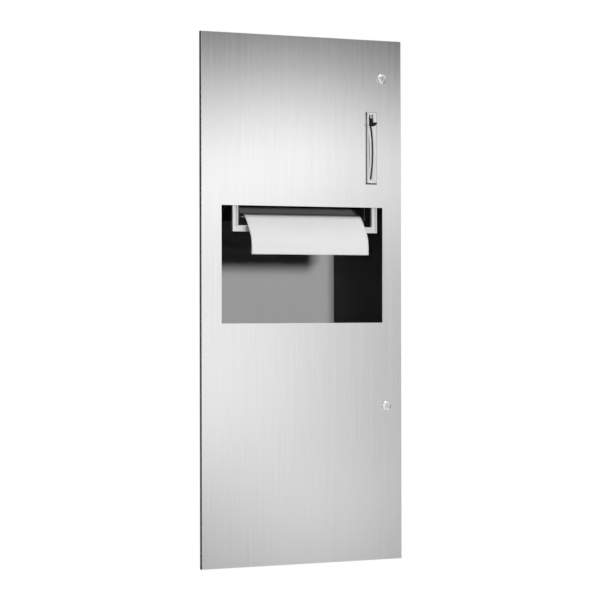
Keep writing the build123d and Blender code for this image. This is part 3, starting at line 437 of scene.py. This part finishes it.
def wound_paper():
    """Layers that show as fine rings on the ends of the roll, embossing on its outside."""
    f = new_finish("wound_paper")
    x, y, z = f.split(f.place())
    dy, dz = y - ROLL_CENTRE.y, z - ROLL_CENTRE.z
    radius = (dy * dy + dz * dz) ** 0.5
    turn = dz.angle_from(dy)
    end_face = (abs(x - ROLL_CENTRE.x) - ROLL_HALF_LENGTH).ramp(-0.0004, -0.0001)
    layers = f.noise(f.join(radius * 2600, turn * 0.6, 0.0), detail=2)
    loose = f.noise(f.join(radius * 240, turn * 0.5, 0.0), detail=2)
    dots = x.wave(DOT_RATE) * turn.wave(DOT_RATE_ROUND_ROLL) * 0.5 + 0.5
    crepe = f.noise(f.join(x * 900, turn * 300, 0.0), detail=2)
    shade = f.blend(layers * 0.6 + loose * 0.4, level(0.72), level(0.90))
    skin = f.blend(crepe, (0.87, 0.87, 0.86), (0.93, 0.93, 0.92))
    height = end_face * (layers * 0.5 + loose) + (1 - end_face) * (dots * 0.35 + crepe * 0.4)
    return f.surface({"Base Color": f.blend(end_face, skin, shade), "Roughness": 0.9,
                      "Specular IOR Level": 0.2, "Normal": f.bump(height, 0.00018)})


def towel_paper():
    """Creped white towel with a fine embossed grid of dots."""
    f = new_finish("towel_paper")
    x, y, z = f.split(f.place())
    run = f.split(f.add("ShaderNodeUVMap", {"uv_map": "run"})["UV"])[1]
    dots = x.wave(DOT_RATE) * run.wave(DOT_RATE) * 0.5 + 0.5
    crepe = f.noise(f.join(x * 260, run * 1500, 0.0), detail=3)
    cloud = f.noise(f.join(x * 45, run * 45, 0.0), detail=3)
    colour = f.blend(crepe * 0.5 + cloud * 0.5, (0.93, 0.93, 0.925), (0.965, 0.965, 0.96))
    return f.surface({"Base Color": colour, "Roughness": 0.9, "Specular IOR Level": 0.2,
                      "Subsurface Weight": 0.5, "Subsurface Radius": (1.0, 1.0, 1.0),
                      "Subsurface Scale": 0.0008, "Normal": f.bump(dots * 0.5 + crepe * 0.5, 0.00012)})


def core_card():
    """Spiral-wound brown card with its dark seam."""
    f = new_finish("core_card")
    place = f.place()
    x, y, z = f.split(place)
    turn = (z - ROLL_CENTRE.z).angle_from(y - ROLL_CENTRE.y)
    seam = abs(((x * 18 + turn / (2 * math.pi)) % 1.0) - 0.5).ramp(0.03, 0.0)
    fibre = f.noise(place, 700, detail=4)
    card = f.blend(fibre, (0.42, 0.32, 0.21), (0.56, 0.45, 0.31))
    return f.surface({"Base Color": f.blend(seam * 0.6, card, (0.25, 0.18, 0.11)), "Roughness": 0.85,
                      "Specular IOR Level": 0.2, "Normal": f.bump(fibre - seam, 0.0001)})


def bin_plastic():
    """Moulded dark grey plastic with a fine pebble and a few scuffs."""
    f = new_finish("bin_plastic")
    pebble = f.noise(f.place(), 420, detail=2)
    scuff = f.grain((14, 14, 90), detail=4).ramp(0.62, 0.78)
    colour = f.blend(scuff, (0.055, 0.056, 0.058), (0.095, 0.096, 0.098))
    return f.surface({"Base Color": colour, "Roughness": 0.46 + 0.12 * pebble, "Specular IOR Level": 0.4,
                      "Normal": f.bump(pebble, 0.00012)})


def dress_nodes():
    """Puts a finish on every node of the frame, by the record's material slot."""
    finishes = {
        "cabinet_steel": satin_cabinet_steel(),
        "brushed_steel": brushed_door_steel(),
        "frame_steel": towel_frame_steel(),
        "hinge_steel": hinge_steel(),
        "lock_chrome": lock_chrome(),
        "zinc_steel": zinc_plate(),
        "black_chassis": black_chassis_paint(),
        "guide_grey": guide_grey_painted_shade(),
        "black_plastic": black_grip_plastic(),
        "bearing_plastic": bearing_acetal(),
        "roller_rubber": roller_rubber(),
        "spring_steel": spring_wire(),
        "towel_paper": wound_paper(),
        "core_card": core_card(),
        "bin_plastic": bin_plastic(),
    }
    own_finishes = {"lever_guard": guard_satin_steel()}
    for name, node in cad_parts.items():
        slot = node.material_slots[0].material.name.split(".")[0]
        finish = own_finishes.get(name) or finishes[slot]
        for material_slot in node.material_slots:
            material_slot.material = finish


def new_piece(name, data, finish):
    """An object with this mesh and finish, linked into the scene."""
    data.materials.append(finish)
    piece = bpy.data.objects.new(name, data)
    bpy.context.scene.collection.objects.link(piece)
    return piece


# Hanging towel

def smooth_run(points):
    """Catmull-Rom curve through the points, with evenly spaced steps between each two."""
    ends = [2 * points[0] - points[1]] + points + [2 * points[-1] - points[-2]]
    run = []
    for a, b, c, d in zip(ends, ends[1:], ends[2:], ends[3:]):
        for i in range(STEPS_PER_SPAN):
            t = i / STEPS_PER_SPAN
            run.append(0.5 * (2 * b + (c - a) * t + (2 * a - 5 * b + 4 * c - d) * t * t
                              + (3 * b - a - 3 * c + d) * t ** 3))
    return run + [points[-1]]


def towel_route():
    """(Y, Z) points of the towel's middle line, from the roll to its torn end."""
    front = WEB_LOW.y + SHEET_THICKNESS / 2
    return [Vector(point) for point in (*ROUTE_FROM_ROLL, (front, HANGS_STRAIGHT_FROM_Z), (front, WEB_LOW.z))]


def towel_rows(mesh, run):
    """For each point of the run, the vertices across the towel on one face and on the other."""
    step = (WEB_HIGH.x - WEB_LOW.x) / (SHEET_POINTS_ACROSS - 1)
    across = [WEB_LOW.x + i * step for i in range(SHEET_POINTS_ACROSS)]
    rows = []
    for before, point, after in zip(run[:1] + run, run, run[1:] + run[-1:]):
        along = (after - before).normalized()
        offset = Vector((-along.y, along.x)) * SHEET_THICKNESS / 2
        sides = (point + offset, point - offset)
        rows.append([[mesh.verts.new((x, y, z)) for x in across] for y, z in sides])
    return rows


def close_towel(mesh, rows):
    """Faces on both sides of the sheet, along its two edges and over its two ends."""
    last = SHEET_POINTS_ACROSS - 1
    for (top, under), (next_top, next_under) in zip(rows, rows[1:]):
        for j in range(last):
            mesh.faces.new((top[j], next_top[j], next_top[j + 1], top[j + 1]))
            mesh.faces.new((under[j + 1], next_under[j + 1], next_under[j], under[j]))
        mesh.faces.new((under[0], next_under[0], next_top[0], top[0]))
        mesh.faces.new((top[last], next_top[last], next_under[last], under[last]))
    for top, under in (rows[0], rows[-1]):
        for j in range(last):
            mesh.faces.new((top[j], top[j + 1], under[j + 1], under[j]))
    bmesh.ops.recalc_face_normals(mesh, faces=mesh.faces)


def make_towel(finish):
    """One sheet of paper, thin and closed, running from the roll out over the tear bar."""
    run = smooth_run(towel_route())
    length = [0.0]
    for before, after in zip(run, run[1:]):
        length.append(length[-1] + (after - before).length)
    mesh = bmesh.new()
    uv = mesh.loops.layers.uv.new("run")
    rows = towel_rows(mesh, run)
    distance = {vertex: so_far for row, so_far in zip(rows, length) for side in row for vertex in side}
    close_towel(mesh, rows)
    for face in mesh.faces:
        face.smooth = True
        for loop in face.loops:
            loop[uv].uv = (loop.vert.co.x, distance[loop.vert])
    data = bpy.data.meshes.new("hanging_towel")
    mesh.to_mesh(data)
    mesh.free()
    towel = new_piece("hanging_towel", data, finish)
    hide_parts("paper_web")
    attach(towel, "cabinet")


# Studio

def make_camera():
    """Almost level view from the left of the door."""
    turn, tilt, roll = (math.radians(a) for a in (CAMERA_TURN, CAMERA_TILT, CAMERA_ROLL))
    forward = Vector((math.sin(turn) * math.cos(tilt), math.cos(turn) * math.cos(tilt), math.sin(tilt)))
    level_right = Vector((math.cos(turn), -math.sin(turn), 0))
    level_up = level_right.cross(forward)
    right = level_right * math.cos(roll) + level_up * math.sin(roll)
    up = level_up * math.cos(roll) - level_right * math.sin(roll)
    camera = bpy.data.objects.new("camera", bpy.data.cameras.new("camera"))
    rotation = Matrix((right, up, -forward)).transposed()
    camera.matrix_world = Matrix.Translation(CAMERA_PLACE) @ rotation.to_4x4()
    camera.data.lens = CAMERA_LENS
    camera.data.sensor_width = CAMERA_SENSOR
    camera.data.clip_end = CAMERA_SEES_TO
    bpy.context.scene.collection.objects.link(camera)
    bpy.context.scene.camera = camera


def upright(left, right, y, low, high):
    """Corners of an upright rectangle with its front to the room."""
    return [(left, y, low), (right, y, low), (right, y, high), (left, y, high)]


def panel(name, corners, finish):
    """A flat four-cornered stage piece."""
    data = bpy.data.meshes.new(name)
    data.from_pydata(corners, [], [range(len(corners))])
    piece = new_piece(name, data, finish)
    return piece


def wall_plaster():
    """White to the camera and to gloss from the room, clear from behind, dull to everything else."""
    f = new_finish("wall_plaster")
    path = f.add("ShaderNodeLightPath")
    seen = path["Is Camera Ray"].most(path["Is Glossy Ray"])
    back = f.add("ShaderNodeNewGeometry")["Backfacing"]
    grain = f.noise(f.place(), 60, detail=3)
    dull = f.matt(f.blend(grain, level(0.14), level(0.18)))
    front = f.mix(seen, dull, f.white_light(1.0))
    return f.done(f.mix(back, front, f.add("ShaderNodeBsdfTransparent")["BSDF"]))


def floor_paint():
    """Pale floor that fades into the white around it."""
    f = new_finish("floor_paint")
    place = f.place()
    x, y, z = f.split(place)
    reach = (x * x + y * y) ** 0.5
    path = f.add("ShaderNodeLightPath")
    seen = path["Is Camera Ray"].most(path["Is Glossy Ray"]).most(path["Is Transmission Ray"])
    grain = f.noise(place, 25, detail=3)
    pale = f.matt(f.blend(grain, level(0.78), level(0.82)))
    share = seen * (0.55 + 0.45 * reach.ramp(0.35, 1.3))
    return f.done(f.mix(share, pale, f.white_light(1.0)))


def flag_cloth_and_painted_shadow():
    """Black cloth for the flag at the door's left edge, and black for the painted shadow strip in the gap
    beside it.
    """
    f = new_finish("flag_cloth_and_painted_shadow")
    weave = f.noise(f.place(), 400, detail=2)
    return f.surface({"Base Color": f.blend(weave, level(0.004), level(0.01)), "Roughness": 1.0})


def softbox_glow():
    """The card that the door mirrors. Its brightness makes the soft bright and dark areas on the door.

    Seen from the camera, the door's point (X, Z) mirrors the card's point (2 X + 1.93, 2 Z + 0.01). So the
    door spans the card's X from 1.50 at its left to 2.37 at its right, and its Z from -1.03 to 1.05.
    """
    f = new_finish("softbox_glow")
    x, y, z = f.split(f.place())
    # Brighter than the ground tone: the left, the upper half, and three patches
    ground = 0.64
    left = x.ramp(2.25, 1.78) * z.ramp(-0.95, -0.35)
    left = left * (1 - 0.25 * z.ramp(0.45, 0.70) - 0.35 * z.ramp(0.8, 1.0))
    upper_half = z.ramp(0.10, 0.55) * (0.20 + 0.16 * x.ramp(1.55, 2.0))
    above_window = x.band(1.45, 1.75, 2.10, 2.33) * (z.ramp(0.38, 0.62) + 0.45 * z.ramp(0.85, 1.0))
    below_window = x.band(1.52, 1.70, 1.80, 1.95) * z.band(-0.55, -0.38, -0.10, 0.10)
    foot = x.band(1.60, 2.0, 2.04, 2.30) * z.ramp(-0.42, -0.82)
    tone = ground + 0.50 * left + upper_half + 0.44 * above_window + 0.08 * below_window + 0.53 * foot
    # Dimmer: towards the top, but bright again above what the door mirrors, and towards the bottom
    top = 0.10 + 0.90 * z.ramp(1.20, 0.50) + 0.80 * z.ramp(1.5, 2.0)
    bottom = 1 - 0.38 * z.ramp(-0.85, -1.25)
    # Dimmer: the upper right corner, the upper left edge, and what lies to the right of the door's share
    corner = 0.15 * x.ramp(2.1, 2.5) * z.ramp(0.6, 1.0)
    corner = corner + 0.13 * x.ramp(2.2, 2.36) * (z.ramp(0.3, 0.6) + 0.6 * z.ramp(0.8, 1.0))
    left_edge = 0.09 * x.ramp(1.66, 1.50) * (z.ramp(0.4, 0.65) + z.ramp(0.8, 0.95))
    beyond = x.ramp(2.75, 3.15) * (0.35 + 0.60 * z.ramp(0.35, -0.10))
    sides = (1 - corner) * (1 - left_edge) * (1 - beyond)
    return f.done(f.white_light(top * bottom * sides * tone))


def make_stage():
    """The wall hides the cabinet's side from the camera. The flag and the shade are black strips at the
    door's left edge: the camera doesn't see the flag, and the shade is a painted shadow that fills the gap
    beside the flange."""
    black = flag_cloth_and_painted_shadow()
    wall = panel("wall", upright(WALL_LEFT, WALL_RIGHT, WALL_Y, -WALL_HALF_HEIGHT, WALL_HALF_HEIGHT),
                 wall_plaster())
    wall.visible_shadow = False
    panel("floor", [(-FLOOR_HALF, -FLOOR_HALF, FLOOR_Z), (FLOOR_HALF, -FLOOR_HALF, FLOOR_Z),
                    (FLOOR_HALF, FLOOR_HALF, FLOOR_Z), (-FLOOR_HALF, FLOOR_HALF, FLOOR_Z)], floor_paint())
    flag = panel("edge_flag", upright(FLAG_LEFT, FLAG_RIGHT, FLAG_Y, -FLAG_HALF_HEIGHT, FLAG_HALF_HEIGHT),
                 black)
    flag.visible_camera = False
    flag.visible_shadow = False
    # Painted shadow: a black strip in the gap between the door's edge and the flange
    panel("wall_gap_shade", upright(SHADE_LEFT, SHADE_RIGHT, SHADE_Y, DOOR_LOW.z, DOOR_HIGH.z), black)
    first, *others = upright(SOFTBOX_LEFT, SOFTBOX_RIGHT, SOFTBOX_Y,
                             -SOFTBOX_HALF_HEIGHT, SOFTBOX_HALF_HEIGHT)
    # The corners in the other order turn the card's front to the door
    softbox = panel("softbox", [first, *reversed(others)], softbox_glow())
    softbox.visible_camera = False
    softbox.visible_diffuse = False
    softbox.visible_shadow = False


def add_lamp(name, place, target, size, power, slant=0.0, mirrored=False):
    """A rectangular lamp, turned by slant degrees; gloss shows it only if it is mirrored."""
    lamp = bpy.data.lights.new(name, "AREA")
    lamp.shape = "RECTANGLE"
    lamp.size, lamp.size_y = size
    lamp.energy = power
    piece = bpy.data.objects.new(name, lamp)
    piece.location = place
    piece.rotation_mode = "QUATERNION"
    aim = (Vector(target) - Vector(place)).to_track_quat("-Z", "Y")
    piece.rotation_quaternion = aim @ Matrix.Rotation(math.radians(slant), 3, "Z").to_quaternion()
    piece.visible_glossy = mirrored
    piece.visible_camera = False
    bpy.context.scene.collection.objects.link(piece)


def make_lamps():
    for name, settings in LAMPS.items():
        add_lamp(name, **settings)


def make_world():
    """White to the camera, faint to matt surfaces; in gloss brighter above, dark low at the room's right."""
    world = bpy.data.worlds.new("studio")
    bpy.context.scene.world = world
    f = Finish(world)
    path = f.add("ShaderNodeLightPath")
    x, y, z = f.split(f.add("ShaderNodeTexCoord")["Generated"])
    seen = path["Is Camera Ray"].most(path["Is Transmission Ray"])
    glossy = path["Is Glossy Ray"]
    room_right = x.ramp(0.20, 0.45) * (-y).ramp(0.02, 0.12) * z.ramp(0.25, 0.0)
    above = WORLD_LOW_IN_GLOSS + (WORLD_HIGH_IN_GLOSS - WORLD_LOW_IN_GLOSS) * z.ramp(-0.40, 0.25)
    in_gloss = above * (1 - WORLD_DARKENED_BY * room_right)
    strength = seen + (1 - seen) * (glossy * in_gloss + (1 - glossy) * WORLD_ON_MATT)
    shader = f.add("ShaderNodeBackground", None, {"Color": (*WHITE, 1), "Strength": strength})["Background"]
    f.add("ShaderNodeOutputWorld", None, {"Surface": shader})


make_camera()
dress_nodes()
make_towel(towel_paper())
make_stage()
make_lamps()
make_world()
bpy.context.scene.view_settings.view_transform = "Standard"
